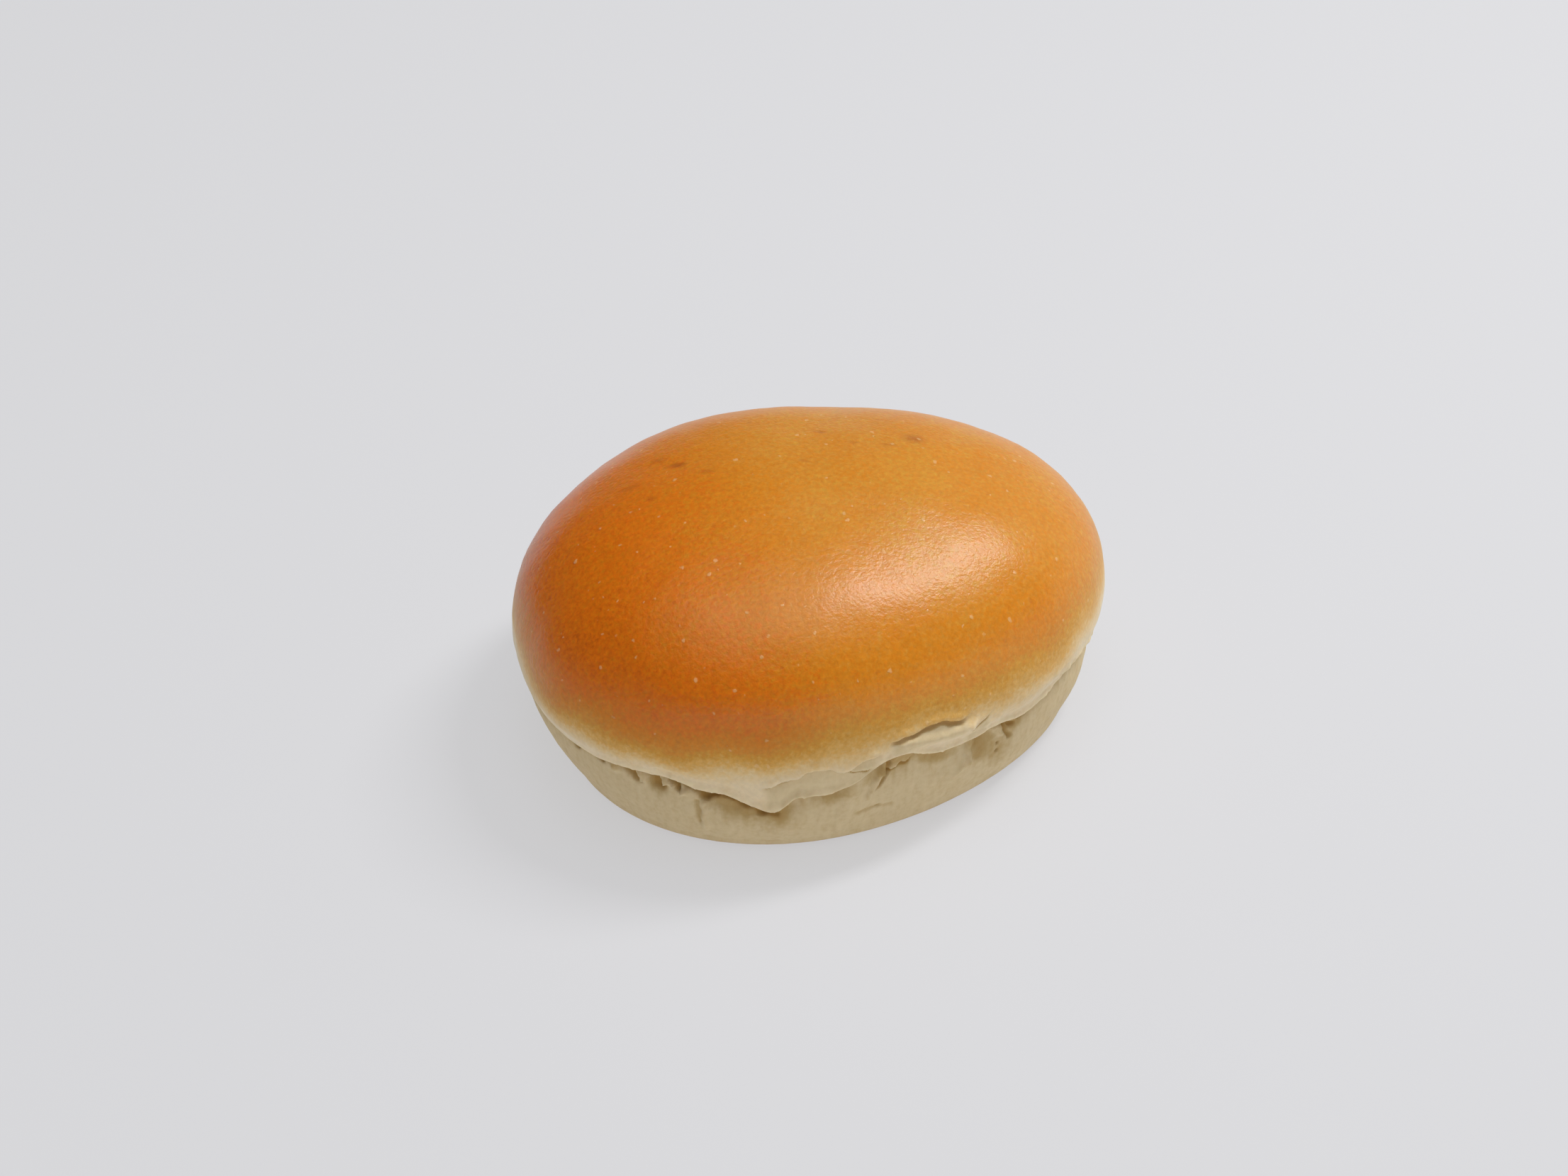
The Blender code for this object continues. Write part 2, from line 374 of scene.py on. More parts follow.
@dataclass
class BurstSeam:
    """The torn zone between the dome and the side wall: its tears, pits, strands and lumps."""

    form: RollForm
    tears: tuple[Tear, ...] = (
        # Front, from the left: the arched tear above the tongue and the small lobe at its end.
        Tear(((-118.6, 20.2), (-114.7, 21.8), (-112.8, 22.5), (-110.2, 22.9), (-108.6, 24.0), (-106.6, 24.9),
              (-103.9, 24.8), (-102.2, 23.6), (-100.6, 22.9), (-99.0, 23.3), (-97.6, 24.3), (-95.0, 25.3),
              (-92.4, 25.0), (-90.8, 23.6)), slot=1.05, gape=1.4, back=1.5, run=2.8, hang=0.7),
        Tear(((-100.2, 22.2), (-98.0, 21.7), (-96.0, 21.4), (-93.2, 21.2)), slot=0.36, gape=0.8, back=0.2, run=1.0,
             hang=0.4),
        # The long one with a rolled ridge below it, and the slit at its end.
        Tear(((-90.2, 26.5), (-87.0, 27.5), (-83.1, 27.7), (-80.5, 28.2), (-77.5, 28.2), (-75.5, 27.9),
              (-73.0, 27.0), (-70.5, 26.5), (-68.6, 26.6)), slot=0.9, gape=1.5, back=0.3, run=1.2, hang=0.45),
        Tear(((-69.4, 23.0), (-66.6, 23.6), (-64.5, 24.2), (-62.2, 25.4)), slot=0.48, gape=0.96, back=0.1, run=1.0,
             hang=0.3),
        # The lump's jagged lower edge.
        Tear(((-91.2, 19.0), (-88.3, 18.4), (-87.0, 19.4), (-84.6, 19.1), (-83.2, 20.4)), slot=0.54, gape=0.96,
             back=0.2, run=1.2, hang=0.4, side=Side.WALL),
        # Back.
        Tear(((48.0, 21.4), (56.0, 23.2), (66.0, 24.2), (75.0, 23.0)), slot=0.8, gape=1.0, back=0.7, run=2.6,
             hang=0.45),
        Tear(((98.0, 23.6), (106.0, 24.6), (117.0, 22.6)), slot=0.8, gape=0.9, back=0.4, run=1.6, hang=0.4),
    )
    strokes: tuple[Stroke, ...] = (
        # Pits under the lip, from the left, each with painted shade in it.
        Stroke((-165.5, 18.6), (-162.5, 16.2), 1.1, -1.30),
        Stroke((-160.8, 18.6), (-156.3, 16.8), 1.1, -1.40),
        Stroke((-151.0, 19.0), (-147.4, 15.6), 1.4, -1.00),
        Stroke((-144.6, 19.8), (-142.6, 15.6), 1.5, -1.35),
        Stroke((-140.0, 19.4), (-137.8, 16.6), 1.4, -1.45),
        Stroke((-136.1, 18.2), (-132.2, 15.2), 1.2, -1.60),
        Stroke((-133.6, 17.2), (-130.6, 15.9), 1.0, -1.45),
        Stroke((-131.0, 16.5), (-126.8, 15.9), 1.0, -1.35),
        Stroke((-125.8, 15.4), (-120.4, 12.5), 1.3, -1.25),
        Stroke((-119.9, 12.2), (-117.0, 11.4), 0.9, -0.60),
        Stroke((-121.7, 11.8), (-121.5, 11.4), 0.5, -0.45),
        # The wall is set in to the left of the tongue, and painted shade lies there.
        Stroke((-125.0, 13.2), (-116.5, 10.6), 3.0, -0.36),
        Stroke((-130.5, 14.8), (-125.5, 13.6), 2.6, -0.36),
        # Strands and blobs of crumb that still join the lip to the wall, with the painted shade taken off them.
        Stroke((-152.8, 20.0), (-152.6, 15.4), 0.9, 0.9),
        Stroke((-146.4, 20.3), (-146.0, 16.0), 0.7, 1.3),
        Stroke((-141.6, 20.1), (-141.2, 16.4), 0.6, 1.5),
        Stroke((-137.3, 19.8), (-137.0, 15.4), 0.6, 1.4),
        Stroke((-139.2, 16.4), (-139.0, 16.2), 0.7, 0.8),
        Stroke((-132.6, 14.5), (-133.0, 6.0), 0.6, 0.5),
        Stroke((-134.2, 13.2), (-134.3, 8.4), 0.6, -0.30),
        Stroke((-126.6, 17.7), (-126.2, 16.9), 1.0, 1.7),
        # The strand at the end of the arched tear, with painted shade on its side, and the lump beside it.
        Stroke((-91.4, 23.6), (-91.3, 19.0), 0.8, 1.3),
        Stroke((-91.3, 19.0), (-94.6, 12.6), 0.7, 0.8),
        Stroke((-90.0, 21.4), (-90.2, 18.2), 0.7, -0.65),
        Stroke((-90.4, 17.6), (-92.6, 14.2), 0.6, -0.60),
        Stroke((-87.6, 21.4), (-85.2, 21.2), 1.5, 1.1),
        # The ridge that runs down from the lip, with painted shade on its right.
        Stroke((-66.2, 18.0), (-67.0, 12.3), 0.8, 0.8),
        Stroke((-67.0, 12.3), (-71.4, 9.2), 0.8, 0.5),
        Stroke((-64.4, 17.0), (-63.2, 12.5), 1.7, -0.40),
        Stroke((-61.5, 16.0), (-57.5, 11.0), 3.0, -0.35),
        # The ragged pit and two pores on the right, with painted shade in them.
        Stroke((-56.6, 17.4), (-54.0, 13.2), 0.6, -0.75),
        Stroke((-58.6, 17.3), (-56.2, 15.0), 0.7, 0.7),
        Stroke((-54.6, 16.9), (-53.2, 15.4), 0.6, -0.75),
        Stroke((-50.6, 16.3), (-48.4, 16.4), 0.5, -0.61),
        Stroke((-57.0, 11.0), (-57.0, 10.8), 0.4, -0.60),
        Stroke((-57.2, 12.9), (-57.2, 12.8), 0.4, -0.60),
        # The rolled ridge under the long tear, and two slack folds low on the wall, with a little painted shade in
        # them.
        Stroke((-86.5, 25.4), (-69.0, 23.6), 1.4, 0.8, Side.CRUST),
        Stroke((-68.2, 22.2), (-60.0, 22.0), 1.2, 0.5, Side.CRUST),
        Stroke((-97.0, 8.1), (-92.0, 8.4), 0.6, -0.25),
        Stroke((-92.0, 8.4), (-88.0, 7.2), 0.6, -0.22),
        # Back.
        Stroke((40.0, 16.4), (43.5, 15.8), 0.8, -1.02),
        Stroke((46.5, 16.6), (49.0, 15.6), 0.9, -1.29),
        Stroke((52.5, 17.0), (56.0, 15.4), 0.9, -1.22),
        Stroke((45.0, 17.4), (45.2, 13.0), 0.7, 1.1),
        Stroke((51.0, 17.6), (51.3, 13.4), 0.7, 1.2),
        Stroke((79.0, 20.4), (80.0, 14.0), 0.8, 0.9),
        Stroke((81.5, 18.6), (82.0, 14.0), 0.7, -0.75),
        Stroke((102.0, 17.2), (106.0, 15.6), 0.9, -1.09),
        Stroke((113.0, 16.4), (116.0, 15.0), 1.0, -1.29),
        Stroke((119.5, 15.8), (123.0, 14.8), 0.9, -1.09),
        Stroke((109.8, 17.4), (110.2, 13.0), 0.8, 1.2),
        Stroke((118.2, 16.8), (118.0, 12.4), 0.7, 1.1),
        Stroke((131.0, 16.4), (135.0, 16.2), 0.8, -0.88),
        Stroke((16.0, 17.2), (20.0, 16.6), 0.8, -0.68),
        Stroke((-8.0, 17.4), (-3.0, 16.8), 0.8, -0.61),
    )

    def carve(self, place: Array, angle: Array, side: Side) -> Marks:
        """What the tears and strokes on one surface do to its points.

        Args:
            place: How far round the roll and how high each point is, frayed so that no mark's edge is clean.
            angle: The points' angles.
            side: The surface.

        Returns:
            The marks, with one number for each point.
        """
        out, down, bare, painted_shade = (np.zeros_like(angle) for _ in range(4))
        for tear in (t for t in self.tears if t.side is side):
            present = tear.presence(angle)
            below = tear.height(angle) - place[:, 1]
            open_here = present * smooth(below, 0.0, 0.35)
            slot = open_here * (1 - smooth(below, 0.35 * tear.gape, 1.15 * tear.gape))
            set_back = open_here * np.exp(-np.maximum(below, 0.0) / tear.run)
            out -= tear.slot * slot + tear.back * set_back
            out += 0.6 * tear.hang * present * np.exp(-(((below + 0.5) / 0.7) ** 2))
            down += tear.hang * present * np.where(below <= 0, np.exp(below / 1.0), np.exp(-below / 0.25))
            torn = open_here * (1 - smooth(below, 1.5 + 1.5 * tear.run, 2.5 + 3.0 * tear.run))
            bare = np.maximum(bare, torn * (0.45 + 0.55 * smooth(below, 0.4 * tear.gape, 1.1 * tear.gape)))
            # Painted shade: deepest in the slot, and lighter on the set-back crumb below it.
            slot_shade = open_here * (1 - smooth(below, 0.8 * tear.gape, 1.3 * tear.gape))
            painted_shade = np.maximum(painted_shade, np.maximum(slot_shade, 0.6 * set_back))
        for stroke in (s for s in self.strokes if s.side is side):
            a = np.array([self.form.arc(np.array([stroke.start[0]]))[0], stroke.start[1]])
            b = np.array([self.form.arc(np.array([stroke.end[0]]))[0], stroke.end[1]])
            run = b - a
            to = place - a
            share = np.clip(to @ run / max(run @ run, 1e-6), 0.0, 1.0)
            mark = stroke.rise * stroke.profile(np.linalg.norm(to - share[:, None] * run, axis=1) / stroke.half_width)
            out += mark
            # A pit adds painted shade, and a strand or lump takes painted shade off.
            painted_shade = np.clip(painted_shade - mark / 1.6, 0.0, 1.0)
        return Marks(out, down, bare, painted_shade)


# ---------------------------------------------------------------- finishes


def linear(colour: str) -> tuple[float, float, float, float]:
    """The linear colour of an sRGB hex value."""
    parts = [int(colour[i:i + 2], 16) / 255 for i in (1, 3, 5)]
    return (*(p / 12.92 if p <= 0.04045 else ((p + 0.055) / 1.055) ** 2.4 for p in parts), 1.0)


def per_metre(size: float) -> float:
    """A texture's scale on metre coordinates for features of this size in millimetres."""
    return 1 / (size * MM)


def add(tree: bpy.types.NodeTree, kind: str, settings: dict | None = None,
        links: dict | None = None) -> bpy.types.Node:
    """Adds one node.

    Args:
        tree: The node tree.
        kind: The node's type name, without the part "ShaderNode".
        settings: Attributes by name, and socket values by socket name or number.
        links: The output that feeds each input, by socket name or number.

    Returns:
        The new node.
    """
    node = tree.nodes.new("ShaderNode" + kind)
    for name, value in (settings or {}).items():
        if isinstance(name, str) and hasattr(node, name):
            setattr(node, name, value)
        else:
            node.inputs[name].default_value = value
    for name, output in (links or {}).items():
        tree.links.new(output, node.inputs[name])
    return node


@dataclass(frozen=True)
class Scorch:
    """A small mark on the top of the dome that is browned more than the skin round it.

    Attributes:
        middle: Its x and y, in millimetres.
        half_length: Half its length, which lies along the wash's brush strokes.
        half_width: Half its width.
        depth: How much browner it is.
    """

    middle: tuple[float, float]
    half_length: float
    half_width: float
    depth: float


@dataclass(frozen=True)
class GlazedCrust:
    """Egg-washed and baked crust: browned sugars under a thin dried glaze, so it is satin and finely pebbled."""

    # From skin that the wash and the heat missed, through gold, to the deep orange of the hottest end.
    tones: tuple[tuple[float, str], ...] = (
        (0.0, "#EAD4AC"), (0.05, "#E6C68C"), (0.12, "#DDAC58"), (0.22, "#D2962E"), (0.32, "#D28824"), (0.4, "#D38214"),
        (0.48, "#D37E0F"), (0.56, "#D67608"), (0.68, "#D87105"), (0.8, "#D86B03"), (1.0, "#C65E03"),
    )
    full_brown: float = 0.8  # where fully browned skin lies on the tones
    scorch_tone: str = "#9A4208"
    roughness: float = 0.25
    pebble: float = 0.8
    pebble_height: float = 0.105
    speck: float = 1.0
    speck_browning: float = 1.15  # how much the browning varies from speck to speck, as a share of it
    mottle: float = 0.65  # how much the brightness varies from pebble to pebble
    fraying: float = 1.2  # how far the flecks and marks are pulled out of shape
    brush_turn: float = -19.0
    scorch_height: float = 51.0
    fleck_gap: float = 2.0  # the cells that hold one fleck at most
    blister_tone: str = "#EBC48C"
    blister_share: float = 0.50
    scorch_share: float = 0.40
    # Marks where the wash ran or the skin touched something hot, on the top of the dome.
    scorches: tuple[Scorch, ...] = (
        Scorch((-22.2, 15.8), 2.6, 1.3, 0.70), Scorch((-24.8, 20.0), 2.2, 1.1, 0.40),
        Scorch((-18.1, 10.1), 2.3, 1.0, 0.42), Scorch((-32.1, 14.3), 3.0, 1.1, 0.38),
        Scorch((-29.8, 8.0), 1.8, 1.1, 0.35), Scorch((23.0, 8.5), 2.9, 2.3, 0.60),
        Scorch((6.5, 15.9), 1.9, 1.0, 0.42), Scorch((-0.3, 6.2), 1.7, 0.8, 0.35),
        Scorch((17.2, 7.4), 2.2, 0.8, 0.32), Scorch((11.2, 9.6), 1.5, 0.8, 0.32),
    )


@dataclass(frozen=True)
class TornCrumb:
    """Side wall and torn crumb, set by steam before it could brown: matt, floury and faintly fibrous."""

    # From the thin torn edge, which stands in the light, through the wall, to the bottom of the pits; the deeper tones
    # are painted shade.
    tones: tuple[tuple[float, str], ...] = (
        (0.0, "#EDD9B0"), (0.38, "#D7C196"), (0.62, "#BFA26C"), (1.0, "#B08A4A"),
    )
    mottle: float = 0.50
    roughness: float = 0.85
    fibre: tuple[float, float, float] = (1.3, 1.3, 6.0)
    pore: float = 1.1
    pore_height: float = 0.10


@dataclass(frozen=True)
class TrayBase:
    """Underside baked on a lightly floured steel tray: an even matt brown with a darker rim."""

    tone: str = "#A8763E"
    rim_tone: str = "#9A7040"
    roughness: float = 0.7


@dataclass
class BakedDough:
    """The roll's one material: glazed crust, torn crumb and tray base, blended by the mesh's attributes."""

    crust: GlazedCrust = field(default_factory=GlazedCrust)
    crumb: TornCrumb = field(default_factory=TornCrumb)
    base: TrayBase = field(default_factory=TrayBase)
    ior: float = 1.41
    subsurface: float = 0.12
    subsurface_reach: float = 2.0

    def ramp(self, tree: bpy.types.NodeTree, value: bpy.types.NodeSocket,
             stops: tuple[tuple[float, str], ...]) -> bpy.types.NodeSocket:
        """Turns a value into a colour through these stops."""
        node = add(tree, "ValToRGB", links={"Fac": value})
        elements = node.color_ramp.elements
        for number, (place, colour) in enumerate(stops):
            element = elements[number] if number < 2 else elements.new(place)
            element.position, element.color = place, linear(colour)
        return node.outputs["Color"]

    def maths(self, tree: bpy.types.NodeTree, operation: str, first: bpy.types.NodeSocket | float,
              second: bpy.types.NodeSocket | float = 0.0, third: bpy.types.NodeSocket | float = 0.0,
              clamp: bool = False) -> bpy.types.NodeSocket:
        """The result of one sum on values or sockets."""
        settings, links = {"operation": operation, "use_clamp": clamp}, {}
        for place, value in enumerate((first, second, third)):
            if isinstance(value, bpy.types.NodeSocket):
                links[place] = value
            else:
                settings[place] = value
        return add(tree, "Math", settings, links).outputs[0]

    def blend(self, tree: bpy.types.NodeTree, share: bpy.types.NodeSocket | float,
              first: bpy.types.NodeSocket | str, second: bpy.types.NodeSocket | str,
              mode: str = "MIX") -> bpy.types.NodeSocket:
        """Blends two colours by a share, which is a socket or a number."""
        settings, links = {"data_type": "RGBA", "blend_type": mode}, {}
        for place, value in ((0, share), (6, first), (7, second)):
            if isinstance(value, bpy.types.NodeSocket):
                links[place] = value
            else:
                settings[place] = linear(value) if isinstance(value, str) else value
        return add(tree, "Mix", settings, links).outputs[2]

    def flecks(self, tree: bpy.types.NodeTree, place: bpy.types.NodeSocket, gap: float,
               share: float) -> bpy.types.NodeSocket:
        """Soft round flecks of uneven size, at most one in each cell of a scatter.

        Args:
            tree: The material's node tree.
            place: The coordinates to scatter over.
            gap: The size of a cell, in millimetres.
            share: The share of the cells that hold a fleck.

        Returns:
            1 in the middle of a fleck, fading to 0 at its edge.
        """
        cells = add(tree, "TexVoronoi", {"Scale": per_metre(gap)}, {"Vector": place})
        chance = add(tree, "SeparateColor", links={"Color": cells.outputs["Color"]}).outputs[0]
        radius = self.maths(tree, "MULTIPLY", self.maths(tree, "SUBTRACT", chance, 1 - share), 0.26 / share)
        inside = self.maths(tree, "SUBTRACT", radius, cells.outputs["Distance"])
        return self.maths(tree, "MULTIPLY", inside, 10.0, clamp=True)

    def scorched(self, tree: bpy.types.NodeTree, place: bpy.types.NodeSocket, mark: Scorch) -> bpy.types.NodeSocket:
        """Where one scorch mark lies.

        Args:
            tree: The material's node tree.
            place: The coordinates that it lies on.
            mark: The mark.

        Returns:
            1 in its middle, fading to 0 at its edge.
        """
        x, y = mark.middle
        near = add(tree, "Mapping", {
            "vector_type": "TEXTURE", "Location": (x * MM, y * MM, self.crust.scorch_height * MM),
            "Rotation": (0.0, 0.0, math.radians(self.crust.brush_turn)),
            "Scale": (mark.half_length * MM, mark.half_width * MM, 10 * MM)}, {"Vector": place})
        away = add(tree, "VectorMath", {"operation": "LENGTH"}, {0: near.outputs[0]}).outputs["Value"]
        return self.maths(tree, "SUBTRACT", 1.0, away, clamp=True)

    def build(self) -> bpy.types.Material:
        """Builds the node material."""
        material = bpy.data.materials.new("glazed_bread_crust")
        material.use_nodes = True
        tree = material.node_tree
        tree.nodes.clear()
        place = add(tree, "TexCoord").outputs["Object"]
        browning = add(tree, "Attribute", {"attribute_name": "browning"}).outputs["Fac"]
        bare = add(tree, "Attribute", {"attribute_name": "bare"}).outputs["Fac"]
        painted_shade = add(tree, "Attribute", {"attribute_name": "painted_shade"}).outputs["Fac"]
        tray = add(tree, "Attribute", {"attribute_name": "tray"}).outputs["Fac"]

        # Crust: the browning varies in patches of some 7 mm and from pebble to pebble of the skin.
        patches = add(tree, "TexNoise", {"Scale": per_metre(7.0), "Detail": 3.0}, {"Vector": place}).outputs["Fac"]
        specks = add(tree, "TexNoise", {"Scale": per_metre(self.crust.speck), "Detail": 2.0, "Roughness": 0.7},
                    {"Vector": place}).outputs["Fac"]
        pebbles = add(tree, "TexNoise", {"Scale": per_metre(self.crust.pebble), "Detail": 2.5, "Roughness": 0.6},
                      {"Vector": place}).outputs["Fac"]
        toned = self.maths(tree, "MULTIPLY_ADD", self.maths(tree, "SUBTRACT", patches, 0.5), 0.12, browning)
        reach = self.maths(tree, "MULTIPLY_ADD", browning, self.crust.speck_browning, 0.04)
        toned = self.maths(tree, "MULTIPLY_ADD", self.maths(tree, "SUBTRACT", specks, 0.5), reach, toned)
        # Round flecks: some where the skin is scorched a little, others where it has blistered pale.
        bent = add(tree, "TexNoise", {"Scale": per_metre(1.5), "Detail": 2.0}, {"Vector": place}).outputs["Color"]
        bent = add(tree, "VectorMath", {"operation": "SUBTRACT", 1: (0.5, 0.5, 0.5)}, {0: bent}).outputs[0]
        bent = add(tree, "VectorMath", {"operation": "MULTIPLY_ADD", 1: (self.crust.fraying * MM,) * 3},
                   {0: bent, 2: place}).outputs[0]
        scorch = self.flecks(tree, bent, self.crust.fleck_gap * 1.2, self.crust.scorch_share)
        scorch = self.maths(tree, "MULTIPLY", scorch, self.maths(tree, "MULTIPLY", browning, 0.30))
        for mark in self.crust.scorches:
            scorch = self.maths(tree, "MULTIPLY_ADD", self.scorched(tree, bent, mark), mark.depth, scorch, clamp=True)
        toned = self.maths(tree, "MULTIPLY", toned, self.crust.full_brown)
        crust_colour = self.blend(tree, scorch, self.ramp(tree, toned, self.crust.tones), self.crust.scorch_tone)
        blister = self.flecks(tree, bent, self.crust.fleck_gap, self.crust.blister_share)
        crust_colour = self.blend(tree, self.maths(tree, "MULTIPLY", blister, 0.42), crust_colour,
                                  self.crust.blister_tone)
        mottle = self.maths(tree, "MULTIPLY_ADD", browning, 0.65 * self.crust.mottle, 0.35 * self.crust.mottle)
        value = self.maths(tree, "MULTIPLY_ADD", self.maths(tree, "SUBTRACT", pebbles, 0.5), mottle, 1.0)
        crust_colour = add(tree, "HueSaturation", links={"Color": crust_colour, "Value": value}).outputs["Color"]

        # Crumb: fibres run up the wall, and painted shade makes the crumb darker and browner in slots, pits, the
        # groove and under the lip.
        stretched = add(tree, "Mapping", {"Scale": tuple(per_metre(s) for s in self.crumb.fibre)}, {"Vector": place})
        fibres = add(tree, "TexNoise", {"Scale": 1.0, "Detail": 3.0}, {"Vector": stretched.outputs[0]}).outputs["Fac"]
        pores = add(tree, "TexNoise", {"Scale": per_metre(self.crumb.pore), "Detail": 3.0},
                    {"Vector": place}).outputs["Fac"]
        both = self.maths(tree, "MULTIPLY_ADD", fibres, 0.5, self.maths(tree, "MULTIPLY", pores, 0.5))
        shade_and_mottle = self.maths(tree, "MULTIPLY_ADD", self.maths(tree, "SUBTRACT", 0.5, both), self.crumb.mottle, painted_shade,
                          clamp=True)
        crumb_colour = self.ramp(tree, shade_and_mottle, self.crumb.tones)

        # Tray base.
        base_colour = self.ramp(tree, tray, ((0.5, self.base.rim_tone), (1.0, self.base.tone)))
        colour = self.blend(tree, bare, crust_colour, crumb_colour)
        colour = self.blend(tree, self.maths(tree, "MULTIPLY", tray, 2.0, clamp=True), colour, base_colour)

        rough = self.maths(tree, "MULTIPLY_ADD", self.maths(tree, "SUBTRACT", 1.0, browning, clamp=True), 0.14,
                           self.crust.roughness)
        rough = self.maths(tree, "ADD", self.maths(tree, "MULTIPLY", rough, self.maths(tree, "SUBTRACT", 1.0, bare)),
                           self.maths(tree, "MULTIPLY", bare, self.crumb.roughness))

        relief = self.maths(tree, "ADD", self.maths(tree, "MULTIPLY", pebbles, self.crust.pebble_height),
                            self.maths(tree, "MULTIPLY", blister, 0.04))
        crumb_relief = self.maths(tree, "MULTIPLY_ADD", fibres, 0.12,
                                  self.maths(tree, "MULTIPLY", pores, self.crumb.pore_height))
        height = add(tree, "Mix", {"data_type": "FLOAT"}, {0: bare, 2: relief, 3: crumb_relief}).outputs[0]
        bump = add(tree, "Bump", {"Strength": 1.0, "Distance": MM}, {"Height": height}).outputs["Normal"]

        shader = add(tree, "BsdfPrincipled", {
            "IOR": self.ior, "Subsurface Weight": self.subsurface,
            "Subsurface Radius": (1.0, 0.55, 0.25), "Subsurface Scale": self.subsurface_reach * MM,
        }, {"Base Color": colour, "Roughness": rough, "Normal": bump})
        add(tree, "OutputMaterial", links={"Surface": shader.outputs[0]})
        return material


# ---------------------------------------------------------------- the roll


@dataclass
class BreadRoll:
    """The bread roll, as one closed piece that stands for the CAD node of the same name."""

    low: Vector
    high: Vector
    segments: int = 586
    front: float = -95.0  # the side whose seam shows most, where the segments are closest
    crowding: float = 0.34
    # The height where the glaze's brown gives way to pale skin, as (angle, height), and half its fade.
    browning_edge: tuple[tuple[float, float], ...] = (
        (-180, 31.2), (-160, 29.8), (-146, 30.0), (-135, 29.6), (-125, 29.6), (-114, 29.4), (-102, 31.4),
        (-90, 31.2), (-75, 31.0), (-61, 29.2), (-45, 29.4), (-30, 30.2), (-15, 31.0), (10, 30.1),
        (40, 29.1), (70, 30.1), (100, 30.1), (130, 28.4), (155, 31.0),
    )
    browning_fade: tuple[float, float] = (9.2, 8.0)  # how far below and above that height it fades
    # Where the side wall lies on the crumb tones: its own colour with painted shade from the lip.
    wall_shade: float = 0.38

    def __post_init__(self) -> None:
        size = (self.high - self.low) / MM
        self.form = RollForm(size.x, size.y, size.z)
        self.seam = BurstSeam(self.form)

    def skin(self) -> bpy.types.Mesh:
        """A flat sheet wound up into a closed skin: x runs round the roll and y from its underside to its top."""
        bm = bmesh.new()
        bmesh.ops.create_grid(bm, x_segments=self.segments, y_segments=RINGS, size=1.0)
        start = sorted((v for v in bm.verts if v.co.x < -0.9999), key=lambda v: v.co.y)
        finish = sorted((v for v in bm.verts if v.co.x > 0.9999), key=lambda v: v.co.y)
        bmesh.ops.weld_verts(bm, targetmap=dict(zip(finish, start)))
        for end in (-1.0, 1.0):
            row = [v for v in bm.verts if abs(v.co.y - end) < 0.0001]
            bmesh.ops.pointmerge(bm, verts=row, merge_co=(0.0, end, 0.0))
        mesh = bpy.data.meshes.new("bread_roll_skin")
        bm.to_mesh(mesh)
        bm.free()
        mesh.shade_smooth()
        return mesh

    def grid(self, mesh: bpy.types.Mesh) -> tuple[Array, Array]:
        """Each point's ring and angle.

        Args:
            mesh: The wound sheet, before its points are moved.

        Returns:
            The rings, counted from the top, and the angles, crowded towards the front.
        """
        sheet = np.empty(len(mesh.vertices) * 3)
        mesh.vertices.foreach_get("co", sheet)
        sheet = sheet.reshape(-1, 3)
        ring = np.rint((1.0 - sheet[:, 1]) / 2 * RINGS)
        turn = sheet[:, 0] * 180.0
        crowded = turn - math.degrees(self.crowding) * np.sin(np.radians(turn - self.front))
        return ring, (crowded + 180.0) % 360.0 - 180.0

    def shape(self, mesh: bpy.types.Mesh) -> Array:
        """Moves the sheet's points onto the torn, uneven form, and keeps what each point's surface is.

        Args:
            mesh: The wound sheet.

        Returns:
            The points in millimetres.
        """
        ring, angle = self.grid(mesh)
        at = self.form.place(ring, angle)
        mesh.vertices.foreach_set("co", at.ravel())
        mesh.update()
        normal = np.empty(len(mesh.vertices) * 3)
        mesh.vertex_normals.foreach_get("vector", normal)
        normal = normal.reshape(-1, 3)
        theta = np.radians(angle)
        outward = np.stack([np.cos(theta), np.sin(theta), np.zeros_like(theta)], axis=1)

        crust_rings = Band.DOME.value + Band.LIP.value
        lip_rings = crust_rings + Band.EDGE.value + Band.GROOVE.value
        wall_rings = lip_rings + Band.WALL.value
        on_crust = ring <= crust_rings + Band.EDGE.value // 2
        on_wall = (ring > lip_rings - Band.GROOVE.value // 2) & (ring <= wall_rings + Band.FOOT.value)
        shut, seam = self.form.shut(angle), self.form.seam(angle)

        # Slow unevenness all over, and finer unevenness that would show in the sheen.
        lumps = 0.45 * grain(at, (26.0, 22.0, 18.0), 3.1) + 0.10 * grain(at, (7.0, 7.0, 6.0), 8.7)
        lumps += 0.03 * grain(at, (2.2, 2.2, 2.2), 5.5)
        moved = at + normal * (lumps * smooth(at[:, 2], 0.0, 6.0))[:, None]

        round_seam = self.form.arc(angle)
        spread = np.stack([round_seam, at[:, 2], np.zeros_like(angle)], axis=1)
        along = np.stack([round_seam, np.zeros_like(angle), np.zeros_like(angle)], axis=1)
        frayed = spread[:, :2] + 0.45 * np.stack([grain(spread, (1.8, 1.8, 1.0), 12.1),
                                                  grain(spread, (1.8, 1.8, 1.0), 15.3)], axis=1)

